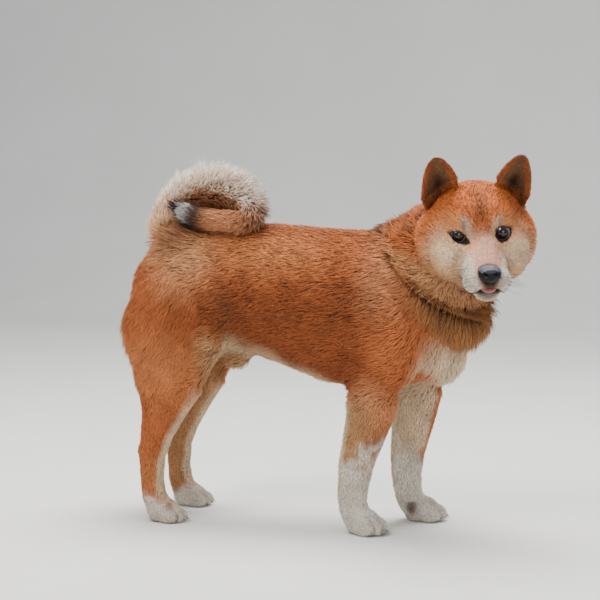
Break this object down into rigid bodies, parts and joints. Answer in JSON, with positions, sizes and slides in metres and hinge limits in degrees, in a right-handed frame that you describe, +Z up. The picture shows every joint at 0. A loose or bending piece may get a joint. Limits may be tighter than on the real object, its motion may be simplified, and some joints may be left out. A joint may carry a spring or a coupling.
{
  "type": "shiba inu",
  "caption": "Standing shiba inu, a small spitz dog with pricked ears and a curled tail, its head turned to look to its right.",
  "frame": {"origin": "middle of the model's bounding box, at the floor", "axes": "+Z up, +X from the tail to the chest, +Y to the dog's left side"},
  "size_m": [0.5668, 0.2582, 0.4925],
  "materials": {
    "coat_red": "soft red double coat",
    "coat_leg": "short red to cream coat",
    "coat_pale": "short cream coat",
    "coat_tail": "long pale bristly coat",
    "nose_leather": "moist black",
    "tongue": "moist pink",
    "eye": "wet dark brown"
  },
  "bodies": {
    "root": {"torso": "coat_red", "neck": "coat_red", "head": "coat_red", "lower_jaw": "coat_pale", "nose": "nose_leather", "tongue": "tongue", "eye_left": "eye", "eye_right": "eye", "ear_left": "coat_red", "ear_right": "coat_red", "foreleg_left": "coat_leg", "foreleg_right": "coat_leg", "forepaw_left": "coat_pale", "forepaw_right": "coat_pale", "thigh_left": "coat_red", "thigh_right": "coat_red", "shank_left": "coat_leg", "shank_right": "coat_leg", "rear_pastern_left": "coat_leg", "rear_pastern_right": "coat_leg", "hindpaw_left": "coat_pale", "hindpaw_right": "coat_pale", "tail_base": "coat_tail", "tail_arch": "coat_tail", "tail_turn": "coat_tail", "tail_tip": "coat_tail"}
  },
  "joints": []
}
